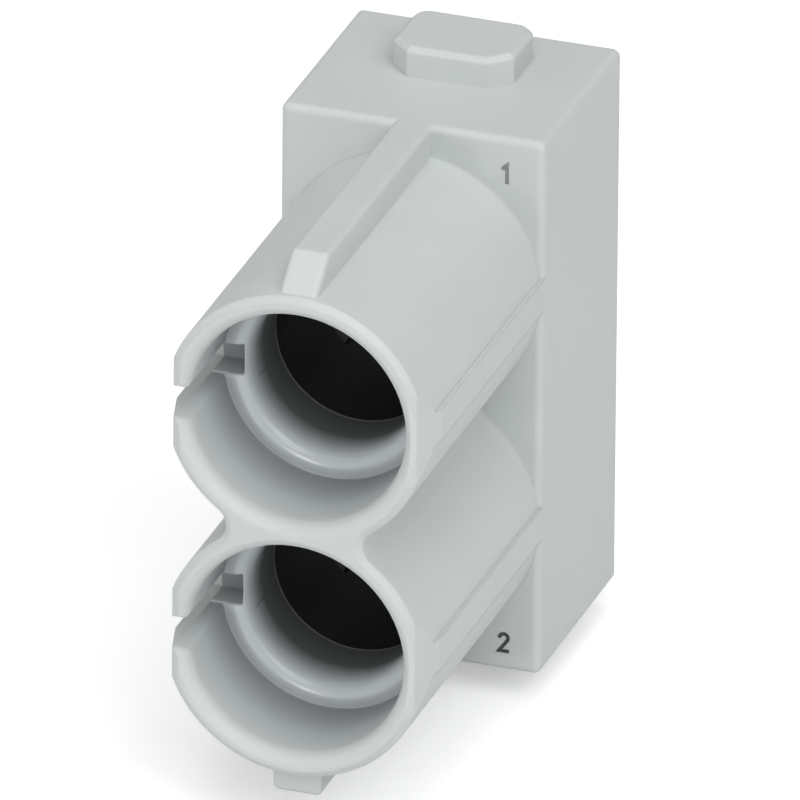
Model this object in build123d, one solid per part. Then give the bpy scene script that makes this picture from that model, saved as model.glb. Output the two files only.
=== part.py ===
"""Two-pole power contact insert for a rectangular hood, at real size in millimetres.

X runs across the insert, Y from the mating side (negative) to the cable side, and Z along
the row of contacts. The origin is the middle of the block's cable-side face.
One light grey moulding carries two socket sleeves. A dark retainer sits in each contact
chamber and holds the crimped contact, which is fitted later and isn't part of the insert.
"""
from build123d import *
import math
import os

# Block that sits in the hood frame
block_width = 14.75
block_height = 31.3
block_depth = 12.5
block_edge = 0.4
block_back_chamfer = 0.15

# Socket sleeves in front of the block
sleeve_pitch = 13.5
sleeve_radius = 7.25
sleeve_length = 19.0
web_fillet = 1.1
rim_chamfer = 0.35

# Ribs along the sleeves, and the lead-in at their front ends
rib_half_width = 1.05
rib_edge = 0.3
rib_setback = 0.5
side_rib_half_width = 0.95
key_rib_half_width = 1.6
foot_rib_half_width = 1.35
foot_rib_setback = 1.2
foot_rib_inset = 0.25
lead_length = 2.6
lead_side = 0.7

# Mouth, shoulder and contact chamber of each sleeve, with depths from the sleeve's front
mouth_radius = 6.0
mouth_lead_depth = 1.0
mouth_lead_width = 0.6
shoulder_depth = 6.2
shoulder_lip = 1.1
land_radius = 4.7
chamber_radius = 5.7
chamber_exit_chamfer = 0.5

# Keyway through the left wall of each sleeve and into its shoulder
keyway_height = 1.8
keyway_land_wall = 0.25
keyway_notch_depth = 2.0
keyway_entry_radius = 0.6
keyway_edge = 0.3
key_pad_wall = 0.45

# Latch lugs on both ends of the block
lug_width = 6.8
lug_height = 1.65
lug_front = 5.5
lug_length = 5.0
lug_chamfer = 1.15
lug_back_radius = 1.0
lug_edge = 0.3

# Contact retainer in each chamber
retainer_clearance = 0.05
retainer_length = 16.5
retainer_wall = 0.75
retainer_collar = 3.5
finger_gaps = 4
finger_gap_width = 1.2
finger_length = 6.3
barb_height = 0.45
barb_length = 1.6
snap_height = 0.25
snap_length = 1.2

half_pitch = sleeve_pitch / 2
mating_face = -block_depth
front = mating_face - sleeve_length
sleeve_root = mating_face / 2
shoulder = front + shoulder_depth
retainer_start = shoulder + shoulder_lip
retainer_end = retainer_start + retainer_length
key_pad_height = keyway_height + 2 * key_pad_wall
key_pad_end = shoulder + keyway_notch_depth + key_pad_wall
centres = {"upper": half_pitch, "lower": -half_pitch}


def block():
    """The block, rounded on its edges but for a small chamfer round the cable side."""
    body = Pos(0, mating_face / 2, 0) * Box(block_width, block_depth, block_height)
    back = body.edges().group_by(Axis.Y)[-1]
    body = fillet(body.edges() - back, block_edge)
    return chamfer(body.faces().sort_by(Axis.Y)[-1].edges(), block_back_chamfer)


def sleeves():
    """Both sleeves and the web between them, drawn as one outline and extruded forwards."""
    reach = sleeve_radius + web_fillet
    middle = math.sqrt(reach ** 2 - half_pitch ** 2)
    share = sleeve_radius / reach
    web = Rectangle(2 * middle * share, 2 * half_pitch * (1 - share))
    web -= [Pos(x, 0) * Circle(web_fillet) for x in (-middle, middle)]
    outline = web + [Pos(0, z) * Circle(sleeve_radius) for z in centres.values()]
    return extrude(Plane.XZ.offset(-sleeve_root) * outline, sleeve_root - front)


def side_ribs(z):
    """Low ribs on both sides of a sleeve, flush with the block; the left one carries the keyway."""
    right = Pos(0, front, z) * Box(block_width / 2, sleeve_root - front, 2 * side_rib_half_width,
                                   align=(Align.MIN, Align.MIN, Align.CENTER))
    left = Pos(0, front, z) * Box(block_width / 2, sleeve_root - front, 2 * key_rib_half_width,
                                  align=(Align.MAX, Align.MIN, Align.CENTER))
    return right + left


def top_rib():
    """Rib on the upper sleeve, flush with the block's top, with a ramp at its front end."""
    top = block_height / 2
    side = Plane.YZ * make_face(Polyline(
        (sleeve_root, half_pitch), (sleeve_root, top), (front + lead_length, top),
        (front + rib_setback, half_pitch + sleeve_radius), (front + rib_setback, half_pitch), close=True))
    rib = extrude(side, rib_half_width, both=True)
    crest = [edge for edge in rib.edges().filter_by(Plane.YZ)
             if edge.center().Z > half_pitch + sleeve_radius / 2
             and front + rib_setback < edge.center().Y < sleeve_root]
    return fillet(crest, rib_edge)


def foot_rib():
    """Wider rib under the lower sleeve, with a blunt front end."""
    bottom = block_height / 2 - foot_rib_inset
    rib = Box(2 * foot_rib_half_width, sleeve_root - front - foot_rib_setback, bottom - half_pitch,
              align=(Align.CENTER, Align.MIN, Align.MIN))
    rib = Pos(0, front + foot_rib_setback, -bottom) * rib
    return fillet(rib.faces().sort_by(Axis.Z)[0].edges().filter_by(Axis.Y), rib_edge)


def side_leads():
    """Wedges that take the sides of both rims in towards the front."""
    edge = block_width / 2
    wedge = make_face(Polyline((edge, front + lead_length), (edge - lead_side, front),
                               (edge + 1, front), (edge + 1, front + lead_length), close=True))
    right = extrude(wedge, block_height / 2, both=True)
    return right + mirror(right, Plane.YZ)


def bore(z):
    """Mouth with a rounded lead, shoulder with a rounded lip, and contact chamber."""
    rim = (mouth_radius + mouth_lead_width, front)
    lead_end = (mouth_radius, front + mouth_lead_depth)
    lip_start = (land_radius + shoulder_lip, shoulder)
    lip_end = (land_radius, shoulder + shoulder_lip)
    wall = Curve() + [
        Line((0, front), rim),
        Bezier(rim, (mouth_radius, front + mouth_lead_depth / 3), lead_end),
        Polyline(lead_end, (mouth_radius, shoulder), lip_start),
        Bezier(lip_start, (land_radius, shoulder), lip_end),
        Polyline(lip_end, (chamber_radius, retainer_start),
                 (chamber_radius, -chamber_exit_chamfer), (chamber_radius + chamber_exit_chamfer, 0),
                 (0, 0), (0, front)),
    ]
    cutter = revolve(make_face(wall), Axis.Y)
    groove = Cylinder(chamber_radius + snap_height, snap_length + 2 * retainer_clearance,
                      rotation=(-90, 0, 0), align=(Align.CENTER, Align.CENTER, Align.MIN))
    groove = Pos(0, retainer_end - snap_length - retainer_clearance, 0) * groove
    return Pos(0, 0, z) * (cutter + groove)


def keyway(z):
    """Slot through the left wall of a sleeve, flared at its front, ending in a notch in the shoulder."""
    floor = land_radius + keyway_land_wall
    reach = block_width / 2 + 1
    slot = Rectangle(shoulder_depth + keyway_notch_depth, keyway_height, align=(Align.MIN, Align.CENTER))
    slot += Rectangle(1, 3 * keyway_height, align=(Align.MAX, Align.CENTER))
    corners = [v for v in slot.vertices() if abs(v.X) < 0.01 and abs(v.Y) < keyway_height]
    slot = Pos(front, 0) * fillet(corners, keyway_entry_radius)
    cutter = extrude(Plane.YZ.offset(-reach) * slot, reach - floor)
    throat = Circle(mouth_radius) + Rectangle(reach, keyway_height, align=(Align.MAX, Align.CENTER))
    throat = fillet([v for v in throat.vertices() if -mouth_radius < v.X < 0], keyway_edge)
    return Pos(0, 0, z) * (cutter + extrude(Plane.XZ.offset(-shoulder) * throat, shoulder_depth))


def key_pad(z):
    """Pad at the chamber's front end that closes the notch and keys the retainer."""
    ring = Circle(chamber_radius + key_pad_wall) - Circle(land_radius)
    ring &= Rectangle(block_width, key_pad_height, align=(Align.MAX, Align.CENTER))
    return Pos(0, 0, z) * extrude(Plane.XZ.offset(-key_pad_end) * ring, key_pad_end - retainer_start)


def lug():
    """Latch lug on the top of the block, chamfered at the front and rounded at the back."""
    plan = Pos(0, mating_face + lug_front + lug_length / 2) * Rectangle(lug_width, lug_length)
    plan = chamfer(plan.vertices().sort_by(Axis.Y)[:2], lug_chamfer)
    plan = fillet(plan.vertices().sort_by(Axis.Y)[-2:], lug_back_radius)
    solid = extrude(Plane.XY.offset(block_height / 2 - block_edge) * plan, lug_height + block_edge)
    return chamfer(solid.faces().sort_by(Axis.Z)[-1].edges(), lug_edge)


def insert_body():
    """The light grey moulding."""
    body = sleeves() + foot_rib() + [side_ribs(z) for z in centres.values()] - side_leads()
    rim = body.faces().sort_by(Axis.Y)[0].outer_wire().edges()
    body = chamfer(rim, rim_chamfer)
    body += [block(), top_rib(), lug(), mirror(lug(), Plane.XY)]
    body -= [bore(z) for z in centres.values()]
    body += [key_pad(z) for z in centres.values()]
    body -= [keyway(z) for z in centres.values()]
    return body


def contact_retainer(z):
    """Collar that lines the bore, then barbed spring fingers, and a snap bead near the end."""
    outer = chamber_radius - retainer_clearance
    inner = outer - retainer_wall
    barb_end = retainer_end - barb_length / 2
    bead_start = retainer_end - snap_length
    section = make_face(Polyline(
        (land_radius, retainer_start), (outer, retainer_start), (outer, bead_start),
        (outer + snap_height, bead_start + snap_height), (outer + snap_height, retainer_end),
        (inner, retainer_end), (inner, barb_end), (inner - barb_height, barb_end - barb_length / 2),
        (inner, barb_end - barb_length), (inner, retainer_start + retainer_collar),
        (land_radius, retainer_start + retainer_collar), close=True))
    sleeve = revolve(section, Axis.Y)
    gap = Box(finger_gap_width, finger_length, outer + 1, align=(Align.CENTER, Align.MAX, Align.MIN))
    gap = Pos(0, retainer_end, 0) * gap
    sleeve -= [Rot(0, (k + 0.5) * 360 / finger_gaps, 0) * gap for k in range(finger_gaps)]
    recess = Box(outer + 1, 2 * (key_pad_end - retainer_start + retainer_clearance),
                 key_pad_height + 2 * retainer_clearance, align=(Align.MAX, Align.CENTER, Align.CENTER))
    return Pos(0, 0, z) * (sleeve - Pos(0, retainer_start, 0) * recess)


parts = {"insert_body": insert_body()}
for place, z in centres.items():
    parts[f"contact_retainer_{place}"] = contact_retainer(z)

os.makedirs("parts", exist_ok=True)
for name, shape in parts.items():
    export_step(shape, f"parts/{name}.step")
    print(name, round(shape.volume, 1), "mm3")
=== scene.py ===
"""Looks of a two-pole contact insert: finishes of its mouldings, printed contact numbers and a studio.

The frame is in metres. The bores run along Y with their mouths towards -Y, and Z runs along the row
of contacts.
"""
import logging
import math
from dataclasses import dataclass
from enum import Enum

import bmesh
import bpy
from mathutils import Matrix, Vector


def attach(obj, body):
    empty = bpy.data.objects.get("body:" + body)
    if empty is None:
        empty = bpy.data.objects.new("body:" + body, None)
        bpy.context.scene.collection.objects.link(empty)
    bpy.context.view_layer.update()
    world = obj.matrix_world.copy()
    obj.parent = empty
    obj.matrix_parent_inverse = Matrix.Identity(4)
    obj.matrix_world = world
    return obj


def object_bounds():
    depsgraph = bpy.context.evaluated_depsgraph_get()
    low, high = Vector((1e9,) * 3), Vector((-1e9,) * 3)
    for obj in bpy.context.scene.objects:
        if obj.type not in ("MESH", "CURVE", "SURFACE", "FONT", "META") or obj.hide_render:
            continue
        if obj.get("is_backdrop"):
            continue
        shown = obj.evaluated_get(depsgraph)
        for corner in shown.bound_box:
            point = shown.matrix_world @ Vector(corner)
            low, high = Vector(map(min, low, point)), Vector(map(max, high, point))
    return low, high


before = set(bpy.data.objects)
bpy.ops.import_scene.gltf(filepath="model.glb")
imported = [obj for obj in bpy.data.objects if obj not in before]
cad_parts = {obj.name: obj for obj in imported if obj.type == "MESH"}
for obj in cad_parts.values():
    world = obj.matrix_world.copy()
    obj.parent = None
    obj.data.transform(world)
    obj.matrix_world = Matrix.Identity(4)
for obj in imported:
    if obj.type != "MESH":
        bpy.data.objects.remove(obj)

MM = 0.001
PHOTO_SIDE_PX = 800
BODY = "root"

# Places down the bores, in millimetres along Y
FRONT = -31.5
SHOULDER = -25.3
LIP_END = -24.2
COLLAR_END = -20.7
RETAINER_END = -7.7

# How far a tone reaches from a bore's axis: past the mouth, over the shoulder, inside the lip
MOUTH_REACH = 6.75 * MM
SHOULDER_REACH = 5.95 * MM
LIP_REACH = 5.1 * MM

# Rounding of the moulded edges in the shading, and the rays that find an edge
EDGE_RADIUS = 0.22 * MM
RETAINER_EDGE_RADIUS = 0.05 * MM
EDGE_RAYS = 6

logging.basicConfig(level=logging.INFO, format="%(message)s")
log = logging.getLogger("contact_insert")

Colour = tuple[float, float, float]
Point = tuple[float, float]
Socket = bpy.types.NodeSocket
Step = tuple[float, float, Colour]
Stops = tuple[tuple[float, Colour], ...]

# Casts of the grey at the rims and on the retainers, the cool tint of the painted shade and light down the
# bores, and none for a plain value
RIM_CAST: Colour = (0.612, 0.642, 0.63)
PAINTED_BORE_TINT: Colour = (0.607, 0.644, 0.659)
EVEN: Colour = (1.0, 1.0, 1.0)

# Painted shade that fades to dark behind the lip, which the housing and the retainers share
LIP_PAINTED_SHADE: tuple[Step, ...] = (
    (LIP_END, 1.0, PAINTED_BORE_TINT), (LIP_END + 0.45, 0.76, PAINTED_BORE_TINT), (LIP_END + 1.3, 0.29, RIM_CAST),
)


class Node(Enum):
    """Moulded pieces that come with the frame."""

    HOUSING = "insert_body"
    UPPER_RETAINER = "contact_retainer_upper"
    LOWER_RETAINER = "contact_retainer_lower"


def put_in_scene(name: str, data: bpy.types.ID) -> bpy.types.Object:
    """Makes an object and puts it into the scene.

    Args:
        name: The object's name.
        data: Its mesh, lamp or camera.

    Returns:
        The object.
    """
    item = bpy.data.objects.new(name, data)
    bpy.context.scene.collection.objects.link(item)
    return item


def finished_object(name: str, shape: bmesh.types.BMesh, finish: bpy.types.Material) -> bpy.types.Object:
    """Turns a shape into an object with its finish.

    Args:
        name: Name of the object and of its mesh.
        shape: The shape, which is used up.
        finish: The material.

    Returns:
        The object.
    """
    mesh = bpy.data.meshes.new(name)
    shape.to_mesh(mesh)
    shape.free()
    mesh.materials.append(finish)
    return put_in_scene(name, mesh)


class MaterialGraph:
    """A node material with the object's own coordinates at hand."""

    def __init__(self, name: str) -> None:
        """Starts a material with a shader, an output and coordinates.

        Args:
            name: The material's name.
        """
        self.material = bpy.data.materials.new(name)
        self.material.use_nodes = True
        self.tree = self.material.node_tree
        self.tree.nodes.clear()
        self.output = self.add("ShaderNodeOutputMaterial")
        self.shader = self.add("ShaderNodeBsdfPrincipled")
        self.join(self.shader.outputs["BSDF"], self.output.inputs["Surface"])
        self.place = self.add("ShaderNodeTexCoord").outputs["Object"]

    def add(self, kind: str, **settings: object) -> bpy.types.Node:
        """Adds a node.

        Args:
            kind: The node's type name.
            **settings: Properties set on the node.

        Returns:
            The new node.
        """
        node = self.tree.nodes.new(kind)
        for name, value in settings.items():
            setattr(node, name, value)
        return node

    def join(self, start: Socket, end: Socket) -> None:
        """Links an output to an input."""
        self.tree.links.new(start, end)

    def noise(self, size: float, detail: float = 2.0, roughness: float = 0.5) -> Socket:
        """Adds noise with features of a real size.

        Args:
            size: Width of a feature, in metres.
            detail: Octaves of finer noise.
            roughness: Share that each finer octave keeps.

        Returns:
            The noise's value, about 0.5 on average.
        """
        node = self.add("ShaderNodeTexNoise", noise_dimensions="3D")
        node.inputs["Scale"].default_value = 1 / size
        node.inputs["Detail"].default_value = detail
        node.inputs["Roughness"].default_value = roughness
        self.join(self.place, node.inputs["Vector"])
        return node.outputs["Fac"]

    def spread(self, value: Socket, low: float, high: float,
               start: float = 0.3, end: float = 0.7) -> Socket:
        """Takes a value smoothly from one number to another, and no further.

        Args:
            value: The value.
            low: Result up to start.
            high: Result from end on.
            start: Input that gives low.
            end: Input that gives high.

        Returns:
            The mapped value.
        """
        node = self.add("ShaderNodeMapRange", clamp=True, interpolation_type="SMOOTHSTEP")
        for name, number in (("From Min", start), ("From Max", end), ("To Min", low), ("To Max", high)):
            node.inputs[name].default_value = number
        self.join(value, node.inputs["Value"])
        return node.outputs["Result"]

    def blend(self, share: Socket, first: Colour | Socket, second: Colour | Socket) -> Socket:
        """Mixes two colours.

        Args:
            share: Share of the second colour.
            first: Colour at a share of 0.
            second: Colour at a share of 1.

        Returns:
            The mixed colour.
        """
        node = self.add("ShaderNodeMix", data_type="RGBA")
        colour_sockets = [socket for socket in node.inputs if socket.type == "RGBA"]
        for socket, colour in zip(colour_sockets, (first, second)):
            if isinstance(colour, tuple):
                socket.default_value = (*colour, 1.0)
            else:
                self.join(colour, socket)
        self.join(share, node.inputs["Factor"])
        return next(socket for socket in node.outputs if socket.type == "RGBA")

    def calculate(self, operation: str, first: Socket, second: float = 0.0) -> Socket:
        """Works out one value from another.

        Args:
            operation: The Math node's operation.
            first: The value.
            second: The number that goes with it.

        Returns:
            The result.
        """
        node = self.add("ShaderNodeMath", operation=operation)
        node.inputs[1].default_value = second
        self.join(first, node.inputs[0])
        return node.outputs["Value"]

    def ramp(self, value: Socket, stops: Stops) -> Socket:
        """Gives each place along a length its own colour.

        Args:
            value: The place, in metres.
            stops: Places in order, in metres, and their colours.

        Returns:
            The colour.
        """
        start, end = stops[0][0], stops[-1][0]
        share = self.add("ShaderNodeMapRange", clamp=True)
        share.inputs["From Min"].default_value = start
        share.inputs["From Max"].default_value = end
        self.join(value, share.inputs["Value"])
        node = self.add("ShaderNodeValToRGB")
        band = node.color_ramp.elements
        while len(band) < len(stops):
            band.new(1.0)
        for element, (place, colour) in zip(band, stops):
            element.position = (place - start) / (end - start)
            element.color = (*colour, 1.0)
        self.join(share.outputs["Result"], node.inputs["Fac"])
        return node.outputs["Color"]

    def number(self, value: float) -> Socket:
        """Adds a number that other nodes build on.

        Args:
            value: The number.

        Returns:
            The number's output.
        """
        node = self.add("ShaderNodeValue")
        node.outputs["Value"].default_value = value
        return node.outputs["Value"]

    def rounded(self, radius: Socket) -> Socket:
        """Rounds the edges in the shading alone.

        Args:
            radius: Radius of the edges, in metres.

        Returns:
            The normal with rounded edges.
        """
        node = self.add("ShaderNodeBevel", samples=EDGE_RAYS)
        self.join(radius, node.inputs["Radius"])
        return node.outputs["Normal"]

    def bump(self, height: Socket, depth: float, under: Socket) -> Socket:
        """Adds a bump of a real depth.

        Args:
            height: Height between 0 and 1.
            depth: Real height of a full step, in metres.
            under: Normal that the bump is laid over.

        Returns:
            The bumped normal.
        """
        node = self.add("ShaderNodeBump")
        node.inputs["Strength"].default_value = 1.0
        node.inputs["Distance"].default_value = depth
        self.join(height, node.inputs["Height"])
        self.join(under, node.inputs["Normal"])
        return node.outputs["Normal"]


def tones(*steps: Step) -> Stops:
    """Scales casts of grey along a length.

    Args:
        *steps: Place in millimetres, level and cast of each stop.

    Returns:
        The stops.
    """
    return tuple((place * MM, tuple(level * part for part in cast)) for place, level, cast in steps)


@dataclass(frozen=True)
class BoreTone:
    """A colour, or a value kept as a grey, that changes down both bores: painted shade and light when it is
    a colour, roughness or edge rounding when it is a value.
    """

    stops: Stops
    reach: float
    half_pitch: float = 6.75 * MM
    edge: float = 0.04 * MM

    def lay(self, graph: MaterialGraph, base: Socket) -> Socket:
        """Lays the tone over a moulding, as far as it reaches from each bore's axis.

        Args:
            graph: The material.
            base: The colour or value away from the bores.

        Returns:
            The colour or value of the whole moulding.
        """
        place = graph.add("ShaderNodeSeparateXYZ")
        graph.join(graph.place, place.inputs["Vector"])
        # Distance from the axis of the nearer bore
        across = graph.add("ShaderNodeCombineXYZ")
        graph.join(place.outputs["X"], across.inputs["X"])
        height = graph.calculate("ABSOLUTE", place.outputs["Z"])
        graph.join(graph.calculate("SUBTRACT", height, self.half_pitch), across.inputs["Z"])
        radius = graph.add("ShaderNodeVectorMath", operation="LENGTH")
        graph.join(across.outputs["Vector"], radius.inputs[0])
        inside = graph.spread(radius.outputs["Value"], low=1.0, high=0.0,
                              start=self.reach - self.edge, end=self.reach + self.edge)
        return graph.blend(inside, base, graph.ramp(place.outputs["Y"], self.stops))


@dataclass(frozen=True)
class MouldedPlastic:
    """Matte injection-moulded plastic with a fine eroded grain and slight flow shades."""

    name: str
    colour: Colour
    shade: Colour
    roughness: float
    # Painted shade and painted light laid over the colour down the bores
    bores: tuple[BoreTone, ...]
    gloss: float = 0.5
    polish: BoreTone | None = None
    sharp: BoreTone | None = None
    roughness_change: float = 0.06
    grain_size: float = 0.11 * MM
    grain_depth: float = 0.004 * MM
    flow_size: float = 7.0 * MM
    flow_depth: float = 0.02 * MM
    edge_radius: float = EDGE_RADIUS

    def build(self) -> bpy.types.Material:
        """Makes the material.

        Returns:
            The material.
        """
        graph = MaterialGraph(self.name)
        flow = graph.noise(self.flow_size, detail=3.0)
        grain = graph.noise(self.grain_size, detail=2.0, roughness=0.6)
        colour = graph.blend(graph.spread(flow, 0.0, 1.0), self.colour, self.shade)
        for bore in self.bores:
            colour = bore.lay(graph, colour)
        rough = graph.spread(grain, self.roughness - self.roughness_change,
                             self.roughness + self.roughness_change)
        if self.polish:
            rough = self.polish.lay(graph, rough)
        radius = graph.number(self.edge_radius)
        if self.sharp:
            radius = self.sharp.lay(graph, radius)
        wave = graph.bump(flow, self.flow_depth, under=graph.rounded(radius))
        graph.join(colour, graph.shader.inputs["Base Color"])
        graph.join(rough, graph.shader.inputs["Roughness"])
        graph.join(graph.bump(grain, self.grain_depth, under=wave), graph.shader.inputs["Normal"])
        graph.shader.inputs["Specular IOR Level"].default_value = self.gloss
        return graph.material


@dataclass(frozen=True)
class PrintedInk:
    """Grey pad-printed ink with thin spots."""

    name: str
    colour: Colour
    thin: Colour
    speck_size: float = 0.08 * MM
    roughness: float = 0.6

    def build(self) -> bpy.types.Material:
        """Makes the material.

        Returns:
            The material.
        """
        graph = MaterialGraph(self.name)
        speck = graph.noise(self.speck_size, detail=1.0)
        colour = graph.blend(graph.spread(speck, 0.0, 1.0), self.colour, self.thin)
        graph.join(colour, graph.shader.inputs["Base Color"])
        graph.shader.inputs["Roughness"].default_value = self.roughness
        return graph.material


@dataclass
class Mouldings:
    """The housing and the two retainers, which keep their own shapes and get their finishes here."""

    housing: MouldedPlastic = MouldedPlastic(
        "housing_light_grey", colour=(0.553, 0.585, 0.573), shade=(0.568, 0.598, 0.586), roughness=0.5,
        bores=(
            # Painted shade that darkens the mouth inwards, a painted light ring on the shoulder, painted
            # shade that makes the chamber near black, and the light grey again at the cable side
            BoreTone(reach=MOUTH_REACH, stops=tones(
                (FRONT, 0.93, RIM_CAST), (FRONT + 0.6, 0.97, RIM_CAST), (FRONT + 3.0, 0.96, PAINTED_BORE_TINT),
                (SHOULDER - 0.4, 0.54, PAINTED_BORE_TINT), (SHOULDER - 0.04, 0.54, PAINTED_BORE_TINT),
                (SHOULDER - 0.02, 1.13, PAINTED_BORE_TINT), (SHOULDER + 0.16, 1.13, PAINTED_BORE_TINT),
                (SHOULDER + 0.35, 0.62, PAINTED_BORE_TINT), (LIP_END + 1.0, 0.45, PAINTED_BORE_TINT),
                (LIP_END + 1.5, 0.015, PAINTED_BORE_TINT), (RETAINER_END - 1.1, 0.015, PAINTED_BORE_TINT),
                (RETAINER_END + 0.1, 0.93, RIM_CAST))),
            # Painted shade over the lip, fading it to dark up to where the retainer starts
            BoreTone(reach=LIP_REACH, stops=tones((SHOULDER, 1.13, PAINTED_BORE_TINT), *LIP_PAINTED_SHADE)),
        ),
        # Smoother shoulder, which takes the gleam
        polish=BoreTone(reach=SHOULDER_REACH, stops=tones(
            (SHOULDER - 0.2, 0.5, EVEN), (SHOULDER, 0.2, EVEN), (SHOULDER + 0.3, 0.2, EVEN),
            (SHOULDER + 0.7, 0.45, EVEN))),
        # No rounding where the lip meets the retainer
        sharp=BoreTone(reach=LIP_REACH, stops=tones(
            (SHOULDER, EDGE_RADIUS, EVEN), (SHOULDER + 0.6, 0.0, EVEN), (COLLAR_END + 0.7, 0.0, EVEN))))
    retainer: MouldedPlastic = MouldedPlastic(
        "retainer_black", colour=(0.012, 0.013, 0.0115), shade=(0.016, 0.017, 0.015), roughness=0.6,
        gloss=0.3, edge_radius=RETAINER_EDGE_RADIUS,
        bores=(
            # Painted light and shade on the collar, grey at the front and fading to dark with the lip, a
            # painted highlight along its rear edge, and the dark fingers
            BoreTone(reach=LIP_REACH, stops=tones(
                *LIP_PAINTED_SHADE, (COLLAR_END - 0.16, 0.22, RIM_CAST), (COLLAR_END - 0.12, 0.6, RIM_CAST),
                (COLLAR_END, 0.6, RIM_CAST), (COLLAR_END + 0.02, 0.027, RIM_CAST),
                (RETAINER_END + 0.7, 0.027, RIM_CAST))),
        ))

    def dress(self, nodes: dict[str, bpy.types.Object]) -> list[bpy.types.Object]:
        """Gives each moulded piece its finish.

        Args:
            nodes: The frame's pieces by name.

        Returns:
            The dressed pieces.
        """
        housing, retainer = self.housing.build(), self.retainer.build()
        finishes = {Node.HOUSING: housing, Node.UPPER_RETAINER: retainer, Node.LOWER_RETAINER: retainer}
        for node, finish in finishes.items():
            for slot in nodes[node.value].material_slots:
                slot.material = finish
        return [nodes[node.value] for node in finishes]


def hook(radius: float, height: float, start: float, end: float, steps: int = 9) -> tuple[Point, ...]:
    """Points on an arc.

    Args:
        radius: The arc's radius.
        height: Height of its centre, which lies at a width of 0.
        start: First angle, in degrees from the right.
        end: Last angle, in degrees.
        steps: Number of points.

    Returns:
        The points, in order.
    """
    angles = [math.radians(start + (end - start) * k / (steps - 1)) for k in range(steps)]
    return tuple((radius * math.cos(angle), height + radius * math.sin(angle)) for angle in angles)


@dataclass(frozen=True)
class ContactNumber:
    """A printed contact number, given as the line that its stroke follows in a height of 1."""

    name: str
    line: tuple[Point, ...]
    centre: Point
    ink: PrintedInk
    height: float = 1.2 * MM
    stroke: float = 0.165
    film: float = 0.02 * MM
    mitre_limit: float = 0.4

    def build(self, face_y: float) -> bpy.types.Object:
        """Makes the number as a film of ink on the mating face.

        Args:
            face_y: Place of the mating face along Y.

        Returns:
            The finished piece.
        """
        shape = bmesh.new()
        face = shape.faces.new([shape.verts.new((x, y, 0.0)) for x, y in self.outline()])
        face.normal_update()
        bmesh.ops.triangulate(shape, faces=[face])
        top = bmesh.ops.extrude_face_region(shape, geom=list(shape.faces))
        moved = [item for item in top["geom"] if isinstance(item, bmesh.types.BMVert)]
        bmesh.ops.translate(shape, vec=(0.0, 0.0, self.film / self.height), verts=moved)
        bmesh.ops.recalc_face_normals(shape, faces=shape.faces)
        upright = Matrix.Rotation(math.radians(90), 4, "X") @ Matrix.Scale(self.height, 4)
        x, z = self.centre
        bmesh.ops.transform(shape, matrix=Matrix.Translation((x, face_y, z)) @ upright, verts=shape.verts)
        piece = finished_object(self.name, shape, self.ink.build())
        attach(piece, BODY)
        return piece

    def outline(self) -> list[Point]:
        """Lays the stroke's two edges along its line, with the tips of sharp corners kept short.

        Returns:
            The outline's corners, in order.
        """
        points = [Vector(point) for point in self.line]
        ways = [(after - before).normalized() for before, after in zip(points, points[1:])]
        left, right = [], []
        for point, before, after in zip(points, [ways[0], *ways], [*ways, ways[-1]]):
            middle = (before + after).normalized()
            mitre = max(middle.dot(after), self.mitre_limit)
            across = Vector((-middle.y, middle.x)) * (self.stroke / 2 / mitre)
            left.append(tuple(point + across))
            right.append(tuple(point - across))
        return right + left[::-1]


@dataclass
class Markings:
    """Both contact numbers, each in a corner of the mating face."""

    block_depth: float = 12.5 * MM
    numbers: tuple[ContactNumber, ...] = (
        ContactNumber("number_1", ((-0.2, 0.17), (-0.17, 0.27), (0.0, 0.42), (0.0, -0.5)),
                      centre=(5.3 * MM, 13.6 * MM),
                      ink=PrintedInk("worn_ink", colour=(0.17, 0.19, 0.185), thin=(0.24, 0.26, 0.25))),
        ContactNumber("number_2", (*hook(radius=0.2, height=0.22, start=185.0, end=-25.0),
                                   (-0.22, -0.42), (0.25, -0.42)),
                      centre=(5.38 * MM, -13.98 * MM),
                      ink=PrintedInk("dark_ink", colour=(0.018, 0.022, 0.022), thin=(0.075, 0.083, 0.083))),
    )

    def build(self) -> list[bpy.types.Object]:
        """Prints both numbers."""
        return [number.build(face_y=-self.block_depth) for number in self.numbers]


def direction(azimuth: float, elevation: float) -> Vector:
    """Looks along +Y at azimuth 0, from the right at 90, and down by the elevation.

    Args:
        azimuth: Angle about the vertical, in degrees.
        elevation: Angle above the floor, in degrees.

    Returns:
        The unit vector from the viewer to the object.
    """
    around, above = math.radians(azimuth), math.radians(elevation)
    reach = math.cos(above)
    return Vector((-math.sin(around) * reach, math.cos(around) * reach, -math.sin(above)))


@dataclass
class SoftBox:
    """A soft lamp aimed at the object. Its level is the light that it gives a surface that faces it."""

    name: str
    azimuth: float
    elevation: float
    level: float
    distance: float = 0.6
    side: float = 0.4

    def build(self) -> bpy.types.Object:
        """Makes the lamp.

        Returns:
            The lamp.
        """
        light = bpy.data.lights.new(self.name, "AREA")
        light.shape = "SQUARE"
        light.size = self.side
        # The lamp and the surface that it lights each spread the power over pi
        light.energy = self.level * math.pi ** 2 * self.distance ** 2
        lamp = put_in_scene(self.name, light)
        towards = direction(self.azimuth, self.elevation)
        lamp.location = -towards * self.distance
        lamp.rotation_euler = towards.to_track_quat("-Z", "Y").to_euler()
        return lamp


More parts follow.
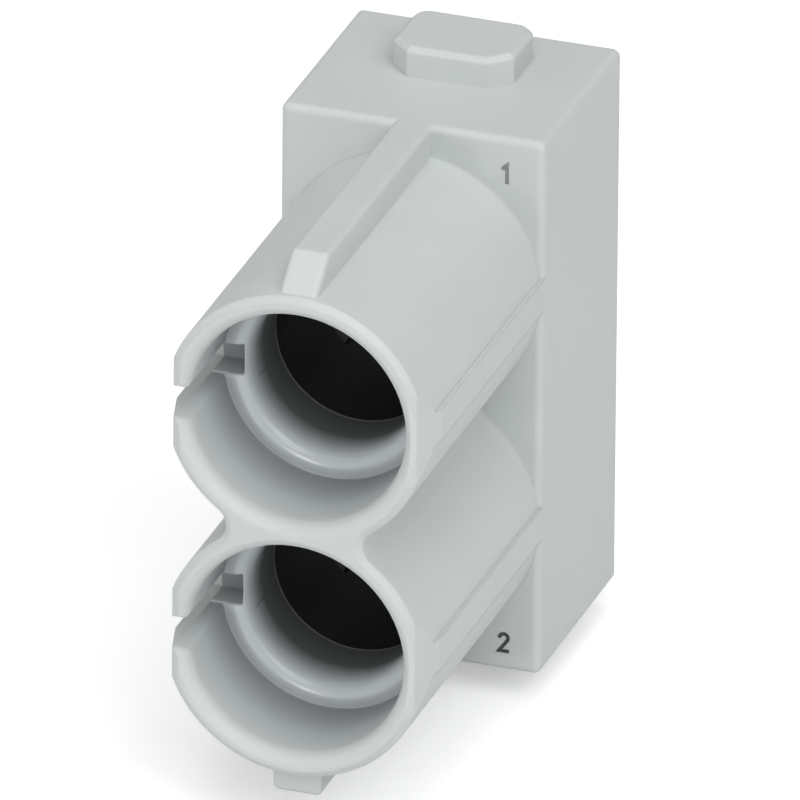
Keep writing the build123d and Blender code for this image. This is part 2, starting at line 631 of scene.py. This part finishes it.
@dataclass
class Studio:
    """White floor, faint even surroundings and soft lamps on all sides, as in a light tent."""

    floor_side: float = 12.0
    floor_white: Colour = (0.9, 0.9, 0.9)
    floor_roughness: float = 0.9
    floor_glow: float = 0.32
    surroundings: float = 0.156
    lamps: tuple[SoftBox, ...] = (
        SoftBox("ceiling_lamp", azimuth=0.0, elevation=88.0, level=0.328),
        SoftBox("left_lamp", azimuth=-70.0, elevation=15.0, level=0.205),
        SoftBox("front_left_lamp", azimuth=-25.0, elevation=12.0, level=0.088),
        SoftBox("front_lamp", azimuth=-8.0, elevation=3.0, level=0.068, side=0.03),
        SoftBox("key_lamp", azimuth=60.0, elevation=45.0, level=0.330),
        SoftBox("camera_lamp", azimuth=20.0, elevation=40.0, level=0.291),
        SoftBox("right_lamp", azimuth=60.0, elevation=10.0, level=0.138),
        SoftBox("back_right_lamp", azimuth=160.0, elevation=35.0, level=0.061),
        SoftBox("back_left_lamp", azimuth=-130.0, elevation=35.0, level=0.084),
    )

    def build(self, floor_z: float) -> list[bpy.types.Object]:
        """Makes the floor, the surroundings and the lamps.

        Args:
            floor_z: Height of the floor.

        Returns:
            The floor and the lamps.
        """
        bpy.context.scene.view_settings.view_transform = "Standard"
        self.surround()
        return [self.lay_floor(floor_z), *(lamp.build() for lamp in self.lamps)]

    def lay_floor(self, height: float) -> bpy.types.Object:
        """Lays the floor.

        Args:
            height: Height of the floor.

        Returns:
            The floor.
        """
        shape = bmesh.new()
        bmesh.ops.create_grid(shape, x_segments=1, y_segments=1, size=self.floor_side / 2)
        bmesh.ops.translate(shape, vec=(0.0, 0.0, height), verts=shape.verts)
        plane = finished_object("floor", shape, self.floor_finish())
        plane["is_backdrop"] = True
        return plane

    def floor_finish(self) -> bpy.types.Material:
        """Makes a matt white that looks white to the camera and still takes the shadow.

        Returns:
            The material.
        """
        graph = MaterialGraph("floor_white")
        graph.shader.inputs["Base Color"].default_value = (*self.floor_white, 1.0)
        graph.shader.inputs["Roughness"].default_value = self.floor_roughness
        graph.shader.inputs["Specular IOR Level"].default_value = 0.0
        path = graph.add("ShaderNodeLightPath")
        strength = graph.calculate("MULTIPLY", path.outputs["Is Camera Ray"], self.floor_glow)
        glow = graph.add("ShaderNodeEmission")
        graph.join(strength, glow.inputs["Strength"])
        both = graph.add("ShaderNodeAddShader")
        graph.join(graph.shader.outputs["BSDF"], both.inputs[0])
        graph.join(glow.outputs["Emission"], both.inputs[1])
        graph.join(both.outputs["Shader"], graph.output.inputs["Surface"])
        return graph.material

    def surround(self) -> None:
        """Surrounds the object with even white light that the camera sees as white."""
        world = bpy.data.worlds.new("surroundings")
        world.use_nodes = True
        tree = world.node_tree
        background = tree.nodes["Background"]
        background.inputs["Color"].default_value = (1.0, 1.0, 1.0, 1.0)
        path = tree.nodes.new("ShaderNodeLightPath")
        level = tree.nodes.new("ShaderNodeMapRange")
        level.inputs["To Min"].default_value = self.surroundings
        level.inputs["To Max"].default_value = 1.0
        tree.links.new(path.outputs["Is Camera Ray"], level.inputs["Value"])
        tree.links.new(level.outputs["Result"], background.inputs["Strength"])
        bpy.context.scene.world = world


@dataclass
class Viewpoint:
    """A long lens from the right and above, at the photograph's viewing angle."""

    azimuth: float = 18.84
    elevation: float = 25.97
    lean: float = 0.5
    distance: float = 2.0
    aim: tuple[float, float, float] = (0.29 * MM, -15.0 * MM, 0.63 * MM)
    px_per_mm: float = 18.90
    sensor: float = 36.0
    nearest: float = 0.1
    farthest: float = 50.0

    def build(self) -> bpy.types.Object:
        """Makes the camera and looks through it.

        Returns:
            The camera.
        """
        lens = bpy.data.cameras.new("camera")
        lens.sensor_width = self.sensor
        lens.lens = self.px_per_mm / MM * self.distance * self.sensor / PHOTO_SIDE_PX
        lens.clip_start = self.nearest
        lens.clip_end = self.farthest
        camera = put_in_scene("camera", lens)
        look = direction(self.azimuth, self.elevation)
        camera.location = Vector(self.aim) - look * self.distance
        turn = look.to_track_quat("-Z", "Y").to_matrix() @ Matrix.Rotation(math.radians(self.lean), 3, "Z")
        camera.rotation_euler = turn.to_euler()
        bpy.context.scene.camera = camera
        return camera


def main() -> None:
    """Builds the looks around the frame and reports each piece."""
    cad_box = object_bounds()
    camera = Viewpoint().build()
    log.info("%s at %s", camera.name, tuple(round(place, 4) for place in camera.location))
    for piece in Mouldings().dress(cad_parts) + Markings().build():
        log.info("%s in %s", piece.name, piece.material_slots[0].material.name)
    for item in Studio().build(floor_z=cad_box[0][2]):
        log.info("%s in place", item.name)


if __name__ == "__main__":
    main()
